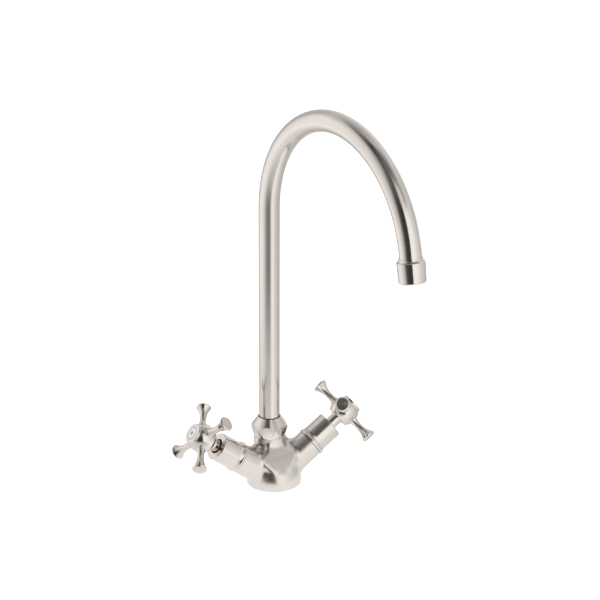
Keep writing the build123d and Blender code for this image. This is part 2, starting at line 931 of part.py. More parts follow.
def make_handle_arms(side):
    rim_place = handle_reach - handle_rim_inset
    with BuildPart() as arms:
        for quarter in range(4):
            spoke = handle_frame(side, quarter)
            with BuildSketch(half_plane(spoke)):
                with BuildLine():
                    stub = Polyline(
                        (0, handle_seat_radius - handle_thread_length),
                        (handle_thread_diameter / 2, handle_seat_radius - handle_thread_length),
                        (handle_thread_diameter / 2, handle_seat_radius),
                        (handle_base_diameter / 2, handle_seat_radius),
                    )
                    waist = (handle_waist_diameter / 2, handle_waist_reach)
                    root = TangentArc(waist, stub @ 1, tangent=(0, -1))
                    flare_start = (handle_flare_diameter / 2, handle_flare_reach)
                    swell = TangentArc(waist, flare_start, tangent=(0, 1))
                    bell = TangentArc(
                        swell @ 1, (handle_rim_diameter / 2, rim_place), tangent=swell % 1
                    )
                    lip = TangentArc(
                        bell @ 1, (handle_face_diameter / 2, handle_reach), tangent=(0, 1)
                    )
                    Polyline(
                        lip @ 1,
                        (0, handle_reach + handle_face_dome),
                        (0, handle_seat_radius - handle_thread_length),
                    )
                make_face()
            revolve(axis=axis_of(spoke))
    save(arms, f"{side}_handle_arms")


def make_handle_screw(side):
    frame = arm_frame(side)
    with BuildPart() as screw:
        head_top = web_top + screw_head_height
        revolve(
            outline(
                frame,
                (0, web_top - handle_screw_length),
                (handle_screw_diameter / 2, web_top - handle_screw_length),
                (handle_screw_diameter / 2, web_top),
                (screw_head_diameter / 2, web_top),
                (screw_head_diameter / 2, head_top - screw_slot_width),
                (screw_head_diameter / 2 - screw_slot_width, head_top),
                (0, head_top),
            ),
            axis=axis_of(frame),
        )
        with BuildSketch(frame.offset(head_top - screw_slot_depth)):
            Rectangle(screw_head_diameter, screw_slot_width)
        extrude(amount=screw_slot_depth, mode=Mode.SUBTRACT)
    save(screw, f"{side}_handle_screw")


def make_index(side):
    frame = arm_frame(side)
    with BuildPart() as ring:
        with BuildSketch(half_plane(frame)):
            with BuildLine():
                boss = index_boss_diameter / 2
                inside = counterbore_diameter / 2
                rim = index_diameter / 2
                back = Polyline(
                    (inside, hub_front - index_boss_length + screw_gap),
                    (boss, hub_front - index_boss_length + screw_gap),
                    (boss, hub_front),
                    (rim, hub_front),
                    (rim, index_top - index_edge_radius),
                )
                edge = RadiusArc(back @ 1, (rim - index_edge_radius, index_top), -index_edge_radius)
                Polyline(
                    edge @ 1,
                    (index_recess_diameter / 2, index_top),
                    (index_recess_diameter / 2, button_place),
                    (inside, button_place),
                    back @ 0,
                )
            make_face()
        revolve(axis=axis_of(frame))
    save(ring, f"{side}_index_ring")
    with BuildPart() as button:
        radius = index_recess_diameter / 2 - screw_gap
        with BuildSketch(half_plane(frame)):
            with BuildLine():
                flat = Polyline((0, button_place), (radius, button_place), (radius, index_top))
                crown = TangentArc(
                    (0, index_top + button_dome), flat @ 1, tangent=(1, 0)
                )
                Line(crown @ 0, flat @ 0)
            make_face()
        revolve(axis=axis_of(frame))
    save(button, f"{side}_index_button")


os.makedirs("parts", exist_ok=True)
make_body()
make_base_seal()
make_tube()
make_spigot()
make_spout_o_rings()
make_bearings()
make_spout_nut()
make_nozzle_ring()
make_aerator()
for side in sides:
    make_seat_seal(side)
    make_fixed_disc(side)
    make_moving_disc(side)
    make_spindle(side)
    make_spindle_o_rings(side)
    make_thrust_washer(side)
    make_circlip(side)
    make_valve_body(side)
    make_valve_o_ring(side)
    make_bonnet(side)
    make_hub(side)
    make_handle_arms(side)
    make_handle_screw(side)
    make_index(side)
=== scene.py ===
import bpy, json, math
from mathutils import Matrix, Quaternion, Vector

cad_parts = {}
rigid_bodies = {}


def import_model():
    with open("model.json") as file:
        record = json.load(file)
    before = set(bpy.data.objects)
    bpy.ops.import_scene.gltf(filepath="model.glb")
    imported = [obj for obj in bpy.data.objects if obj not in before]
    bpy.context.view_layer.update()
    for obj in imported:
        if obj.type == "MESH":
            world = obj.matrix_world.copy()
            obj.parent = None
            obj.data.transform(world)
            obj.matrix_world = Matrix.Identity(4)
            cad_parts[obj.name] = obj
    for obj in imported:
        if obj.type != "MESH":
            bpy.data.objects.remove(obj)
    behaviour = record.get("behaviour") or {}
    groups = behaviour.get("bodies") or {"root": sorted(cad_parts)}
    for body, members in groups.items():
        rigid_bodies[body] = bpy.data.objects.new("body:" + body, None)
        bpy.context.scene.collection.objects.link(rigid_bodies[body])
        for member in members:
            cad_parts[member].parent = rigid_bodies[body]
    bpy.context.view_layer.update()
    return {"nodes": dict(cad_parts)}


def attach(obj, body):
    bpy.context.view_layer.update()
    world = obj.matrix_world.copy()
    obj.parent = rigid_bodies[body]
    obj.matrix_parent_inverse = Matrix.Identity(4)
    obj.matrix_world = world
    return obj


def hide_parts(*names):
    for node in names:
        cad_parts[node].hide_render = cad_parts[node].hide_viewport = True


for left in list(bpy.data.objects):
    bpy.data.objects.remove(left)

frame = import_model()
nodes = frame["nodes"]
bpy.ops.object.select_all(action="DESELECT")
print("frame loaded,", len(nodes), "nodes")

# metres and degrees; the valve arms lean out from the body to both sides
place = {
    "armLean": 36.1,
    "armStart": Vector((0, 0, 0.005)),
    "neckBack": 0.0105,
    "nozzleWay": Vector((0.0274, -0.1611, -0.9866)),
}
up = Vector((0, 0, 1))


def armWay(side):
    lean = math.radians(place["armLean"])
    return Vector((side * math.cos(lean), 0, math.sin(lean)))


def wayFrom(azimuth, elevation):
    # from the tap to someone who stands that far round from the front and that high
    az, el = math.radians(azimuth), math.radians(elevation)
    return Vector((math.sin(az) * math.cos(el), -math.cos(az) * math.cos(el), math.sin(el)))


# camera

camera = {
    "azimuth": -24.89,
    "elevation": 21.06,
    "aim": Vector((0, 0, 0.1874)),
    "distance": 2.0619,
    "lens": 132,
    "sensor": 36,
    "turn": -0.6781,  # degrees, because the tap stands left of the middle
}


def makeCamera():
    back = wayFrom(camera["azimuth"], camera["elevation"])
    bpy.ops.object.camera_add(location=camera["aim"] + back * camera["distance"])
    cam = bpy.context.object
    cam.name = "photoCamera"
    cam.data.lens = camera["lens"]
    cam.data.sensor_width = camera["sensor"]
    cam.rotation_mode = "QUATERNION"
    turn = Quaternion((0, 1, 0), math.radians(camera["turn"]))
    cam.rotation_quaternion = (-back).to_track_quat("-Z", "Y") @ turn
    bpy.context.scene.camera = cam


# node helpers

def addNode(tree, kind, **values):
    made = tree.nodes.new(kind)
    for name, value in values.items():
        setattr(made, name, value)
    return made


def addMath(tree, operation, *values):
    made = addNode(tree, "ShaderNodeMath", operation=operation)
    for cup, value in zip(made.inputs, values):
        if isinstance(value, (int, float)):
            cup.default_value = value
        else:
            tree.links.new(value, cup)
    return made.outputs[0]


def addRamp(tree, fac, stops):
    ramp = addNode(tree, "ShaderNodeValToRGB")
    line = ramp.color_ramp
    while len(line.elements) > 1:
        line.elements.remove(line.elements[-1])
    line.elements[0].position, line.elements[0].color = stops[0]
    for at, colour in stops[1:]:
        line.elements.new(at).color = colour
    tree.links.new(fac, ramp.inputs["Fac"])
    return ramp.outputs["Color"]


def addMix(tree, fac, first, second):
    mix = addNode(tree, "ShaderNodeMix", data_type="RGBA")
    tree.links.new(fac, mix.inputs["Factor"])
    for cup, value in ((mix.inputs[6], first), (mix.inputs[7], second)):  # the two colours
        if isinstance(value, tuple):
            cup.default_value = value
        else:
            tree.links.new(value, cup)
    return mix.outputs[2]


def addRange(tree, value, low, high):
    step = addNode(tree, "ShaderNodeMapRange", interpolation_type="SMOOTHSTEP")
    step.inputs["From Min"].default_value = low
    step.inputs["From Max"].default_value = high
    tree.links.new(value, step.inputs["Value"])
    return step.outputs["Result"]


def addLength(tree, vector):
    length = addNode(tree, "ShaderNodeVectorMath", operation="LENGTH")
    tree.links.new(vector, length.inputs[0])
    return length.outputs["Value"]


def addBlend(tree, fac, first, second):
    blend = addNode(tree, "ShaderNodeMixShader")
    tree.links.new(fac, blend.inputs["Fac"])
    tree.links.new(first, blend.inputs[1])
    tree.links.new(second, blend.inputs[2])
    return blend.outputs[0]


def addGlow(tree, colour):
    glow = addNode(tree, "ShaderNodeEmission")
    tree.links.new(colour, glow.inputs["Color"])
    return glow.outputs["Emission"]


def grey(level):
    return (level, level, level, 1)


# light

light = {
    "fill": 0.55,
    "aim": Vector((0, -0.05, 0.19)),
    "tentRadius": 2.0,
    "tentMiddle": 0.19,
    "tentSides": 64,
    "tentRings": 32,
    "tentRise": (28, 42),  # how high up, in degrees, the low shade runs into the middle one
    "tentRoof": (46, 66),  # and the middle one into the high one
    "floorSide": 30,
    "floorWhite": 0.8,
    "floorLift": 0.62,
    "footEdge": (0.06, 0.14),  # how far out the floor's shades run into each other
    "nearEdge": (0.12, 0.62),
    "farEdge": (0.9, 1.3),
}
lamps = {
    "keyBox": {"azimuth": 18, "elevation": 38, "distance": 2.2, "size": (1.6, 1.4), "power": 26},
    "sideBox": {"azimuth": -128, "elevation": 30, "distance": 2.4, "size": (2.0, 1.4), "power": 14},
    "topBox": {"azimuth": 90, "elevation": 70, "distance": 2.4, "size": (1.6, 1.6), "power": 10},
}

# what polished metal sees round the tap: azimuth from the front, then brightness
surroundLow = [
    (-180, 0.52), (-165, 0.62), (-152, 0.95), (-143, 1.04), (-128, 1.07), (-113, 1.0),
    (-98, 0.87), (-83, 0.72), (-68, 0.38), (-58, 0.10), (-40, 0.05), (-17, 0.05), (-12, 1.15),
    (-8, 1.2), (7, 1.2), (22, 1.12), (37, 0.97), (52, 0.85), (67, 0.78), (82, 0.68), (97, 0.67),
    (112, 0.81), (127, 0.9), (148, 0.8), (162, 0.6), (180, 0.52),
]
surroundMiddle = [
    (-180, 0.60), (-158, 0.70), (-128, 0.84), (-98, 0.72), (-83, 0.55), (-68, 0.36),
    (-58, 0.15), (-24, 0.11), (-17, 0.60), (-8, 0.82), (7, 0.88), (18, 0.70), (28, 0.48),
    (40, 0.46), (54, 0.72), (97, 0.83), (127, 0.76), (157, 0.67), (180, 0.60),
]
surroundHigh = [
    (-180, 0.45), (-143, 0.27), (-113, 0.19), (-83, 0.07), (-53, 0.10), (-23, 0.19), (-8, 0.14),
    (22, 0.20), (52, 0.34), (82, 0.53), (97, 0.61), (142, 0.53), (180, 0.45),
]
floorFar = [
    (-180, 0.52), (-165, 0.6), (-152, 0.9), (-135, 1.14), (-104, 1.10), (-78, 0.80),
    (-58, 0.36), (-34, 0.24), (-16, 0.3), (-2, 1.0), (10, 1.16), (33, 0.93), (60, 0.72),
    (94, 0.6), (112, 0.62), (145, 0.7), (162, 0.56), (180, 0.52),
]
floorNear = [
    (-180, 0.62), (-150, 0.8), (-104, 0.92), (-75, 0.82), (-50, 0.74), (-22, 0.76), (-8, 0.92),
    (6, 1.16), (25, 1.08), (60, 0.85), (94, 0.62), (112, 0.62), (180, 0.62),
]
floorFoot = [
    (-180, 0.8), (-100, 1.0), (-40, 1.06), (10, 1.1), (60, 0.98), (110, 0.82), (180, 0.8),
]


def addAround(tree, coords, stops):
    # a quarter turn brings the front to the middle of the ramp
    turned = addNode(tree, "ShaderNodeMapping")
    turned.inputs["Rotation"].default_value = (0, 0, math.radians(90))
    tree.links.new(coords, turned.inputs["Vector"])
    turn = addNode(tree, "ShaderNodeTexGradient", gradient_type="RADIAL")
    tree.links.new(turned.outputs["Vector"], turn.inputs["Vector"])
    return addRamp(tree, turn.outputs["Fac"], [((az + 180) / 360, grey(level)) for az, level in stops])


def startStage(name):
    mat = bpy.data.materials.new(name)
    mat.use_nodes = True
    mat.node_tree.nodes.clear()
    mat.cycles.emission_sampling = "NONE"
    coords = addNode(mat.node_tree, "ShaderNodeTexCoord").outputs["Object"]
    return mat, mat.node_tree, coords


def endShader(tree, kind, shader):
    out = addNode(tree, kind)
    tree.links.new(shader, out.inputs["Surface"])


def tentHeight(angle):
    return light["tentRadius"] * math.sin(math.radians(angle))


def makeTent():
    # a light tent: only mirrors see it, so it stays out of every picture
    bpy.ops.mesh.primitive_uv_sphere_add(
        segments=light["tentSides"], ring_count=light["tentRings"], radius=light["tentRadius"],
        location=(0, 0, light["tentMiddle"]))
    tent = bpy.context.object
    tent.name = "lightTent"
    bpy.ops.object.shade_smooth()
    mat, tree, coords = startStage("tentCloth")
    split = addNode(tree, "ShaderNodeSeparateXYZ")
    tree.links.new(coords, split.inputs["Vector"])
    height = split.outputs["Z"]
    rise = addRange(tree, height, *[tentHeight(angle) for angle in light["tentRise"]])
    roof = addRange(tree, height, *[tentHeight(angle) for angle in light["tentRoof"]])
    low = addAround(tree, coords, surroundLow)
    middle = addAround(tree, coords, surroundMiddle)
    high = addAround(tree, coords, surroundHigh)
    shade = addMix(tree, roof, addMix(tree, rise, low, middle), high)
    endShader(tree, "ShaderNodeOutputMaterial", addGlow(tree, shade))
    tent.data.materials.append(mat)
    tent.visible_camera = False
    tent.visible_diffuse = False
    tent.visible_shadow = False
    tent.visible_transmission = False


def makeFloor():
    bpy.ops.mesh.primitive_plane_add(size=light["floorSide"], location=(0, 0, 0))
    floor = bpy.context.object
    floor.name = "floor"
    mat, tree, coords = startStage("paleFloor")
    path = addNode(tree, "ShaderNodeLightPath")
    matt = addNode(tree, "ShaderNodeBsdfDiffuse")
    matt.inputs["Color"].default_value = grey(light["floorWhite"])
    lift = addNode(tree, "ShaderNodeEmission")
    lift.inputs["Strength"].default_value = light["floorLift"]
    lit = addNode(tree, "ShaderNodeAddShader")
    tree.links.new(matt.outputs[0], lit.inputs[0])
    tree.links.new(lift.outputs[0], lit.inputs[1])
    looking = addMath(tree, "MAXIMUM", path.outputs["Is Camera Ray"], path.outputs["Is Transmission Ray"])
    seen = addBlend(tree, looking, matt.outputs[0], lit.outputs[0])
    # the sheen of the white table, as the metal sees it, from the foot outwards
    out = addLength(tree, coords)
    shade = addAround(tree, coords, floorFoot)
    for edge, stops in (("footEdge", floorNear), ("nearEdge", floorFar), ("farEdge", surroundLow)):
        shade = addMix(tree, addRange(tree, out, *light[edge]), shade, addAround(tree, coords, stops))
    last = addBlend(tree, path.outputs["Is Glossy Ray"], seen, addGlow(tree, shade))
    endShader(tree, "ShaderNodeOutputMaterial", last)
    floor.data.materials.append(mat)


def makeWorld():
    world = bpy.data.worlds.new("studio")
    bpy.context.scene.world = world
    world.use_nodes = True
    tree = world.node_tree
    tree.nodes.clear()
    path = addNode(tree, "ShaderNodeLightPath")
    fill = addNode(tree, "ShaderNodeBackground")
    fill.inputs["Strength"].default_value = light["fill"]
    white = addNode(tree, "ShaderNodeBackground")
    white.inputs["Color"].default_value = grey(1)
    looking = addMath(tree, "MAXIMUM", path.outputs["Is Camera Ray"], path.outputs["Is Glossy Ray"])
    looking = addMath(tree, "MAXIMUM", looking, path.outputs["Is Transmission Ray"])
    endShader(tree, "ShaderNodeOutputWorld", addBlend(tree, looking, fill.outputs[0], white.outputs[0]))


def makeLamp(name, box):
    back = wayFrom(box["azimuth"], box["elevation"])
    bpy.ops.object.light_add(type="AREA", location=light["aim"] + back * box["distance"])
    lamp = bpy.context.object
    lamp.name = name
    lamp.data.shape = "RECTANGLE"
    lamp.data.size, lamp.data.size_y = box["size"]
    lamp.data.energy = box["power"]
    lamp.rotation_euler = back.to_track_quat("Z", "Y").to_euler()
    lamp.visible_glossy = False  # the tent carries the reflections


makeCamera()
makeWorld()
makeFloor()
makeTent()
for name, box in lamps.items():
    makeLamp(name, box)
bpy.context.scene.view_settings.view_transform = "Standard"
print("stage set")


# finishes

def startMaterial(name):
    mat = bpy.data.materials.new(name)
    mat.use_nodes = True
    tree = mat.node_tree
    shader = tree.nodes["Principled BSDF"]
    coords = addNode(tree, "ShaderNodeTexCoord").outputs["Object"]
    return mat, tree, shader, coords


def addNoise(tree, coords, scale, detail):
    noise = addNode(tree, "ShaderNodeTexNoise")
    noise.inputs["Scale"].default_value = scale
    noise.inputs["Detail"].default_value = detail
    tree.links.new(coords, noise.inputs["Vector"])
    return noise.outputs["Fac"]


noiseReach = {"tone": (0.3, 0.7), "rough": (0.25, 0.75)}  # the part of the noise that is used


def addTone(tree, fac, dark, bright):
    low, high = noiseReach["tone"]
    return addRamp(tree, fac, [(low, (*dark, 1)), (high, (*bright, 1))])


def addRoughness(tree, shader, fac, low, high):
    spread = addNode(tree, "ShaderNodeMapRange")
    ends = (*noiseReach["rough"], low, high)
    for name, value in zip(("From Min", "From Max", "To Min", "To Max"), ends):
        spread.inputs[name].default_value = value
    tree.links.new(fac, spread.inputs["Value"])
    tree.links.new(spread.outputs["Result"], shader.inputs["Roughness"])


def addBump(tree, shader, fac, strength, depth):
    bump = addNode(tree, "ShaderNodeBump")
    bump.inputs["Strength"].default_value = strength
    bump.inputs["Distance"].default_value = depth
    tree.links.new(fac, bump.inputs["Height"])
    tree.links.new(bump.outputs["Normal"], shader.inputs["Normal"])


nickel = {
    "dark": (0.720, 0.664, 0.618),
    "bright": (0.748, 0.697, 0.653),
    "toneScale": 45,
    "castScale": 1500,
    "latheScale": 3200,
    "latheStretch": (50, 50, 1),
    "detail": 3,
    "spread": 0.03,
    "depth": 0.00004,
}
# roughness, strength of the grain, and the axis of the lathe that turned the piece
nickelLooks = {
    "satinCasting": (0.25, 0.05, None),
    "satinNut": (0.07, 0.03, up),
    "satinTube": (0.13, 0.04, up),
    "satinNozzle": (0.10, 0.05, place["nozzleWay"]),
    "satinHot": (0.15, 0.05, armWay(-1)),
    "satinCold": (0.15, 0.05, armWay(1)),
    "handleNickel": (0.09, 0.02, None),
    "polishedNickel": (0.06, 0.01, None),
}


def nickelMaterial(name, rough, strength, axis):
    # the lathe leaves fine rings square to the axis; the other pieces have an even satin grain
    n = nickel
    mat, tree, shader, coords = startMaterial(name)
    broad = addNoise(tree, coords, n["toneScale"], n["detail"])
    tree.links.new(addTone(tree, broad, n["dark"], n["bright"]), shader.inputs["Base Color"])
    if axis is None:
        fine = addNoise(tree, coords, n["castScale"], n["detail"])
    else:
        turned = addNode(tree, "ShaderNodeMapping", vector_type="TEXTURE")
        turned.inputs["Scale"].default_value = n["latheStretch"]
        turned.inputs["Rotation"].default_value = up.rotation_difference(axis).to_euler()
        tree.links.new(coords, turned.inputs["Vector"])
        fine = addNoise(tree, turned.outputs["Vector"], n["latheScale"], n["detail"])
    addRoughness(tree, shader, fine, rough - n["spread"], rough + n["spread"])
    addBump(tree, shader, fine, strength, n["depth"])
    shader.inputs["Metallic"].default_value = 1
    return mat


plain = {
    "toneDetail": 3,
    "fineTimes": 9,  # the fine grain's scale is this many times the tone's
    "fineDetail": 2,
    "spread": 0.04,
    "strength": 0.1,
    "depth": 0.0001,
}
# the tone's two ends and its scale, roughness, and 1 for metal
plainLooks = {
    "bareBrass": ((0.70, 0.50, 0.22), (0.78, 0.57, 0.27), 300, 0.28, 1),
    "turnedSteel": ((0.50, 0.50, 0.50), (0.60, 0.60, 0.61), 400, 0.28, 1),
    "whiteCeramic": ((0.80, 0.79, 0.76), (0.86, 0.85, 0.83), 200, 0.12, 0),
    # the black rubber here also paints the shade in the black seam rings further down
    "blackRubberAndGapShade": ((0.018, 0.018, 0.018), (0.032, 0.031, 0.030), 500, 0.55, 0),
    "bearingPlastic": ((0.70, 0.69, 0.64), (0.78, 0.77, 0.72), 300, 0.4, 0),
    "aeratorPlastic": ((0.62, 0.63, 0.64), (0.72, 0.73, 0.74), 300, 0.35, 0),
}


def plainMaterial(name, dark, bright, scale, rough, metal):
    p = plain
    mat, tree, shader, coords = startMaterial(name)
    spots = addNoise(tree, coords, scale, p["toneDetail"])
    tree.links.new(addTone(tree, spots, dark, bright), shader.inputs["Base Color"])
    fine = addNoise(tree, coords, scale * p["fineTimes"], p["fineDetail"])
    addRoughness(tree, shader, fine, rough - p["spread"], rough + p["spread"])
    addBump(tree, shader, fine, p["strength"], p["depth"])
    shader.inputs["Metallic"].default_value = metal
    return mat


enamel = {
    "dark": (0.90, 0.895, 0.88),
    "bright": (0.93, 0.925, 0.91),
    "ink": (0.28, 0.28, 0.29, 1),
    "ringRadius": 0.0062,
    "ringWidth": 0.0006,
    "dotRadius": 0.0016,
    "blur": 0.00018,
    "toneScale": 150,
    "toneDetail": 3,
    "fineScale": 900,
    "fineDetail": 2,
    "rough": (0.05, 0.11),
    "coat": 0.6,
    "coatRough": 0.04,
}


def addBand(tree, value, radius, half):
    # one inside the band, nought outside, with a soft edge
    away = addMath(tree, "ABSOLUTE", addMath(tree, "SUBTRACT", value, radius))
    return addRange(tree, away, half + enamel["blur"], half)


def enamelMaterial(name, axis):
    # porcelain with a plain ring and dot fired into it, centred on the valve's axis
    e = enamel
    mat, tree, shader, coords = startMaterial(name)
    turned = addNode(tree, "ShaderNodeMapping", vector_type="TEXTURE")
    turned.inputs["Location"].default_value = place["armStart"]
    turned.inputs["Rotation"].default_value = up.rotation_difference(axis).to_euler()
    tree.links.new(coords, turned.inputs["Vector"])
    flat = addNode(tree, "ShaderNodeVectorMath", operation="MULTIPLY")
    flat.inputs[1].default_value = (1, 1, 0)
    tree.links.new(turned.outputs["Vector"], flat.inputs[0])
    out = addLength(tree, flat.outputs[0])
    ring = addBand(tree, out, e["ringRadius"], e["ringWidth"] / 2)
    dot = addBand(tree, out, 0, e["dotRadius"])
    white = addTone(tree, addNoise(tree, coords, e["toneScale"], e["toneDetail"]), e["dark"], e["bright"])
    colour = addMix(tree, addMath(tree, "MAXIMUM", ring, dot), white, e["ink"])
    tree.links.new(colour, shader.inputs["Base Color"])
    addRoughness(tree, shader, addNoise(tree, coords, e["fineScale"], e["fineDetail"]), *e["rough"])
    shader.inputs["Coat Weight"].default_value = e["coat"]
    shader.inputs["Coat Roughness"].default_value = e["coatRough"]
    return mat


looks = {name: nickelMaterial(name, *values) for name, values in nickelLooks.items()}
looks.update({name: plainMaterial(name, *values) for name, values in plainLooks.items()})
for name, side in (("enamelHot", -1), ("enamelCold", 1)):
    looks[name] = enamelMaterial(name, armWay(side))
print("finishes mixed")


slotLooks = {
    "satin_nickel": "satinCasting",
    "polished_nickel": "polishedNickel",
    "bare_brass": "bareBrass",
    "ceramic": "whiteCeramic",
    "black_rubber": "blackRubberAndGapShade",
    "bearing_plastic": "bearingPlastic",
    "aerator_plastic": "aeratorPlastic",
    "steel": "turnedSteel",
}
nodeLooks = {
    "hot_handle_arms": "handleNickel", "cold_handle_arms": "handleNickel",
    "hot_handle_hub": "handleNickel", "cold_handle_hub": "handleNickel",
    "hot_bonnet": "satinHot", "cold_bonnet": "satinCold",
    "hot_index_button": "enamelHot", "cold_index_button": "enamelCold",
    "nozzle_ring": "satinNozzle",
}
for name, node in nodes.items():
    for cup in node.material_slots:
        look = nodeLooks.get(name) or slotLooks[cup.material.name.split(".")[0]]
        cup.material = looks[look]
print("nodes dressed")


# modelling helpers

shadeAngle = 40  # degrees; turned pieces are smooth up to here
mergeGap = 0.000002


def growRows(rows):
    # a face or loop that has the first row's height, half width, front and back grows
    # through the other rows
    bpy.ops.object.mode_set(mode="EDIT")
    bpy.ops.mesh.select_all(action="SELECT")
    for last, row in zip(rows, rows[1:]):
        lastZ, lastWide, lastFront, lastBack = last
        z, wide, front, back = row
        lift = (0, (front + back - lastFront - lastBack) / 2, z - lastZ)
        bpy.ops.mesh.extrude_region_move(TRANSFORM_OT_translate={"value": lift})
        bpy.ops.transform.resize(value=(wide / lastWide, (back - front) / (lastBack - lastFront), 1))
    bpy.ops.mesh.select_all(action="SELECT")
    bpy.ops.mesh.remove_doubles(threshold=mergeGap)
    bpy.ops.mesh.normals_make_consistent(inside=False)
    bpy.ops.object.mode_set(mode="OBJECT")
    return bpy.context.object


def addWall(piece, thick):
    wall = piece.modifiers.new("wall", "SOLIDIFY")
    wall.thickness = thick
    wall.offset = -1
    bpy.ops.object.modifier_apply(modifier="wall")
    bpy.ops.object.shade_smooth_by_angle(angle=math.radians(shadeAngle))


def makeShadeRing(outside, inside, thick, sides):
    # a flat black ring round the origin, as painted shade in a narrow seam
    bpy.ops.object.select_all(action="DESELECT")
    bpy.ops.mesh.primitive_cylinder_add(vertices=sides, radius=outside, depth=thick, end_fill_type="NOTHING")
    ring = bpy.context.object
    addWall(ring, outside - inside)
    ring.data.materials.append(looks["blackRubberAndGapShade"])
    return ring


def joinAll(made, name):
    bpy.ops.object.select_all(action="DESELECT")
    for piece in made:
        piece.select_set(True)
    bpy.context.view_layer.objects.active = made[0]
    bpy.ops.object.join()
    whole = bpy.context.object
    whole.name = name
    bpy.ops.object.transform_apply(location=True, rotation=True, scale=True)
    return whole


def softenForm(piece, steps, voxel):
    # swells and shrinks the shape in turn: out and back rounds the inner corners,
    # in and back the outer ones
    tree = bpy.data.node_groups.new("softBlend", "GeometryNodeTree")
    tree.interface.new_socket("Geometry", in_out="INPUT", socket_type="NodeSocketGeometry")
    tree.interface.new_socket("Geometry", in_out="OUTPUT", socket_type="NodeSocketGeometry")
    flow = addNode(tree, "NodeGroupInput").outputs[0]
    for step in steps:
        grid = addNode(tree, "GeometryNodeMeshToSDFGrid")
        grid.inputs["Voxel Size"].default_value = voxel
        grid.inputs["Band Width"].default_value = int(abs(step) / voxel) + 3  # three voxels to spare
        tree.links.new(flow, grid.inputs["Mesh"])
        back = addNode(tree, "GeometryNodeGridToMesh")
        back.inputs["Threshold"].default_value = step
        tree.links.new(grid.outputs[0], back.inputs["Grid"])
        flow = back.outputs["Mesh"]
    out = addNode(tree, "NodeGroupOutput")
    tree.links.new(flow, out.inputs[0])
    soft = piece.modifiers.new("softBlend", "NODES")
    soft.node_group = tree
    bpy.ops.object.modifier_apply(modifier="softBlend")


# cast body: foot, bell, web, neck and two arms run into each other with wide soft blends

casting = {
    "footRadius": 0.0262,
    "footTop": 0.0035,
    "footBottom": -0.012,  # under the worktop, and cut off flat at the end
    "neckRadius": 0.01515,
    "neckTop": 0.0456,
    "neckLong": 0.045,
    "armRadius": 0.0142,
    "armLong": 0.048,
    "spare": 0.010,  # arms and neck start too long and are cut off square at the end
    # height, half width, front and back of the foot where it runs up into the neck
    "bell": [
        (0.0035, 0.0262, -0.0262, 0.0262), (0.006, 0.0261, -0.0261, 0.0261),
        (0.008, 0.0258, -0.0258, 0.0258), (0.010, 0.0254, -0.0254, 0.0254),
        (0.0125, 0.0248, -0.0246, 0.0244), (0.015, 0.0241, -0.0234, 0.0230),
        (0.0175, 0.0234, -0.0217, 0.0200), (0.021, 0.0224, -0.0190, 0.0150),
        (0.025, 0.0206, -0.0157, 0.0110), (0.030, 0.0176, -0.0119, 0.0100),
        (0.035, 0.0144, -0.0081, 0.0100), (0.0385, 0.0120, -0.0054, 0.0100),
        (0.0415, 0.0094, -0.0037, 0.0100)],
    # height, half width and front of the flat web between the arms
    "web": [
        (0.0170, 0.0062, -0.0214), (0.0200, 0.0105, -0.0196), (0.0230, 0.0140, -0.0174),
        (0.0255, 0.0152, -0.0155), (0.0280, 0.0158, -0.0136), (0.0305, 0.0160, -0.0116),
        (0.0330, 0.0140, -0.0097), (0.0360, 0.0104, -0.0074), (0.0390, 0.0078, -0.0051),
        (0.0410, 0.0058, -0.0037)],
    "webBack": 0.004,
    "bellSides": 160,
    "rodSides": 128,
    "voxel": 0.0007,
    "blend": 0.007,
    "edge": 0.0045,
    "sharp": 35,  # degrees; the cut ends are sharper than this
    "polish": (0.5, 10),  # share of the way at each turn, and how many turns
}


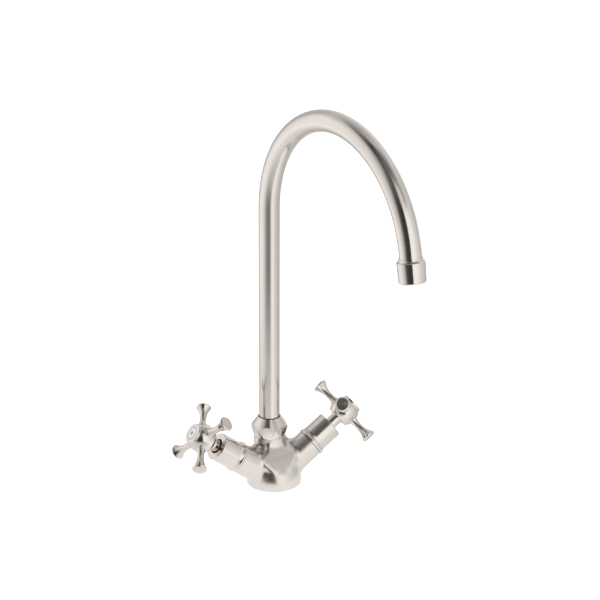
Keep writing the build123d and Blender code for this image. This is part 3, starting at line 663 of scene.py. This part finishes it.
def makeCasting():
    c = casting
    bpy.ops.object.select_all(action="DESELECT")
    bpy.ops.mesh.primitive_cylinder_add(
        vertices=c["bellSides"], radius=c["footRadius"], depth=c["footTop"] - c["footBottom"],
        location=(0, 0, (c["footTop"] + c["footBottom"]) / 2))
    made = [bpy.context.object]
    z, wide = c["bell"][0][:2]
    bpy.ops.mesh.primitive_circle_add(
        vertices=c["bellSides"], radius=wide, fill_type="NGON", location=(0, 0, z))
    made.append(growRows(c["bell"]))
    web = [(*row, c["webBack"]) for row in c["web"]]
    z, wide, front, back = web[0]
    bpy.ops.mesh.primitive_plane_add(size=1, location=(0, (back + front) / 2, z))
    bpy.ops.transform.resize(value=(2 * wide, back - front, 1))
    bpy.ops.object.transform_apply(location=False, rotation=False, scale=True)
    made.append(growRows(web))
    long = c["armLong"] + c["spare"]
    for side in (-1, 1):
        way = armWay(side)
        bpy.ops.mesh.primitive_cylinder_add(
            vertices=c["rodSides"], radius=c["armRadius"], depth=long,
            location=place["armStart"] + way * long / 2,
            rotation=way.to_track_quat("Z", "Y").to_euler())
        made.append(bpy.context.object)
    bpy.ops.mesh.primitive_cylinder_add(
        vertices=c["rodSides"], radius=c["neckRadius"], depth=c["neckLong"],
        location=(0, place["neckBack"], c["neckTop"] + c["spare"] - c["neckLong"] / 2))
    made.append(bpy.context.object)
    body = joinAll(made, "cast_body")
    softenForm(body, (c["blend"], -c["blend"] - c["edge"], c["edge"]), c["voxel"])
    print("casting faces", len(body.data.polygons))
    bpy.ops.object.mode_set(mode="EDIT")
    cuts = [(Vector(), -up), (up * c["neckTop"], up)]
    for side in (-1, 1):
        cuts.append((place["armStart"] + armWay(side) * c["armLong"], armWay(side)))
    for at, way in cuts:
        bpy.ops.mesh.select_all(action="SELECT")
        bpy.ops.mesh.bisect(plane_co=at, plane_no=way, use_fill=True, clear_outer=True)
    bpy.ops.object.mode_set(mode="OBJECT")
    bpy.ops.object.shade_smooth_by_angle(angle=math.radians(c["sharp"]))
    smooth = body.modifiers.new("smooth", "SMOOTH")
    smooth.factor, smooth.iterations = c["polish"]
    bpy.ops.object.modifier_apply(modifier="smooth")
    body.data.materials.clear()
    body.data.materials.append(looks["satinCasting"])
    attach(body, "mixer_body")
    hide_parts("body_casting")


makeCasting()
print("casting blended")


# painted shade at the foot seams: a thin black ring fills the seam between each arm and its bonnet, standing
# for the shade in that gap

footSeamShade = {
    "inside": 0.01235,
    "outside": 0.0138,
    "start": 0.04801,
    "thick": 0.00018,
    "sides": 160,
}


def makeFootSeamShades():
    s = footSeamShade
    ring = makeShadeRing(s["outside"], s["inside"], s["thick"], s["sides"])
    twin = ring.copy()
    twin.data = ring.data.copy()
    bpy.context.collection.objects.link(twin)
    for one, name, side in ((ring, "hot_seam_shade", -1), (twin, "cold_seam_shade", 1)):
        one.name = name
        way = armWay(side)
        turn = up.rotation_difference(way).to_matrix().to_4x4()
        at = place["armStart"] + way * (s["start"] + s["thick"] / 2)
        one.data.transform(Matrix.Translation(at) @ turn)
        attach(one, "mixer_body")


makeFootSeamShades()
print("foot seam shade rings made")


# spout nut: a hexagon turned to two cones, the upper one running up to the tube

hexNut = {
    "turn": 26.8,
    "corner": 0.01796,
    "blockAt": 0.055,  # height of the middle of the block that cuts the flats
    "blockHigh": 0.04,
    # radius and height of the turned outline: up the outside, down the bore and back to the start
    "outline": [
        (0.01515, 0.0456), (0.01796, 0.0550), (0.01075, 0.0650), (0.0103, 0.0650),
        (0.0103, 0.0583), (0.01305, 0.0583), (0.01305, 0.0456), (0.01515, 0.0456)],
    "sides": 192,
    "sharp": 20,
}


def makeNut():
    n = hexNut
    bpy.ops.object.select_all(action="DESELECT")
    r, z = n["outline"][0]
    bpy.ops.mesh.primitive_circle_add(vertices=n["sides"], radius=r, location=(0, place["neckBack"], z))
    nut = growRows([(z, r, -r, r) for r, z in n["outline"]])
    bpy.ops.mesh.primitive_cylinder_add(
        vertices=6, radius=n["corner"], depth=n["blockHigh"], location=(0, place["neckBack"], n["blockAt"]))
    block = bpy.context.object
    # the first corner of a new cylinder lies along +Y
    block.data.transform(Matrix.Rotation(math.radians(n["turn"] - 90), 4, "Z"))
    bpy.ops.object.select_all(action="DESELECT")
    nut.select_set(True)
    bpy.context.view_layer.objects.active = nut
    cut = nut.modifiers.new("flats", "BOOLEAN")
    cut.operation = "INTERSECT"
    cut.solver = "EXACT"
    cut.object = block
    bpy.ops.object.modifier_apply(modifier="flats")
    bpy.data.objects.remove(block)
    bpy.ops.object.transform_apply(location=True, rotation=True, scale=True)
    bpy.ops.object.shade_smooth_by_angle(angle=math.radians(n["sharp"]))
    nut.name = "turned_spout_nut"
    nut.data.materials.clear()
    nut.data.materials.append(looks["satinNut"])
    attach(nut, "mixer_body")
    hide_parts("spout_nut")


makeNut()
print("nut turned")


# painted shade at the lip: a black ring stands for the shade in the gap where the tube leaves the nut

lipSeamShade = {
    "inside": 0.01003,
    "outside": 0.0105,
    "low": 0.06502,
    "thick": 0.0006,
    "sides": 96,
}


def makeLipSeamShade():
    s = lipSeamShade
    lip = makeShadeRing(s["outside"], s["inside"], s["thick"], s["sides"])
    lip.name = "spout_lip_shade"
    lip.data.transform(Matrix.Translation((0, place["neckBack"], s["low"] + s["thick"] / 2)))
    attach(lip, "mixer_body")


makeLipSeamShade()
print("lip seam shade ring made")


# spout tube: one drawn tube, straight up and then bent over to the nozzle

tube = {
    "radius": 0.00998,
    "wall": 0.001,
    "start": Vector((0, place["neckBack"], 0.0422)),
    "bendStart": 0.275,
    "bendRadius": 0.1073,
    "sweep": 170.6,
    "turn": 9.5,  # the spout's plane is turned a little from straight ahead
    "tail": 0.0070,
    "sides": 96,
    "straightSteps": 4,
    "bendSteps": 180,
}


def makeTube():
    t = tube
    sweep, turn = math.radians(t["sweep"]), math.radians(t["turn"])
    ahead = Vector((math.sin(turn), -math.cos(turn), 0))
    hinge = up.cross(ahead)
    bpy.ops.object.select_all(action="DESELECT")
    bpy.ops.mesh.primitive_circle_add(vertices=t["sides"], radius=t["radius"], location=t["start"])
    pipe = bpy.context.object
    bpy.ops.object.transform_apply(location=True, rotation=True, scale=True)
    bpy.ops.object.mode_set(mode="EDIT")
    bpy.ops.mesh.select_all(action="SELECT")
    rise = up * (t["bendStart"] - t["start"].z) / t["straightSteps"]
    for step in range(t["straightSteps"]):
        bpy.ops.mesh.extrude_region_move(TRANSFORM_OT_translate={"value": rise})
    middle = Vector((t["start"].x, t["start"].y, t["bendStart"])) + ahead * t["bendRadius"]
    bpy.ops.mesh.spin(steps=t["bendSteps"], angle=-sweep, center=middle, axis=hinge)
    tail = Quaternion(hinge, sweep) @ up * t["tail"]
    bpy.ops.mesh.extrude_region_move(TRANSFORM_OT_translate={"value": tail})
    bpy.ops.mesh.select_all(action="SELECT")
    bpy.ops.mesh.remove_doubles(threshold=mergeGap)
    bpy.ops.mesh.normals_make_consistent(inside=False)
    bpy.ops.object.mode_set(mode="OBJECT")
    addWall(pipe, t["wall"])
    pipe.name = "drawn_spout_tube"
    pipe.data.materials.append(looks["satinTube"])
    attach(pipe, "spout")
    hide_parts("spout_tube")


makeTube()
print("tube bent")
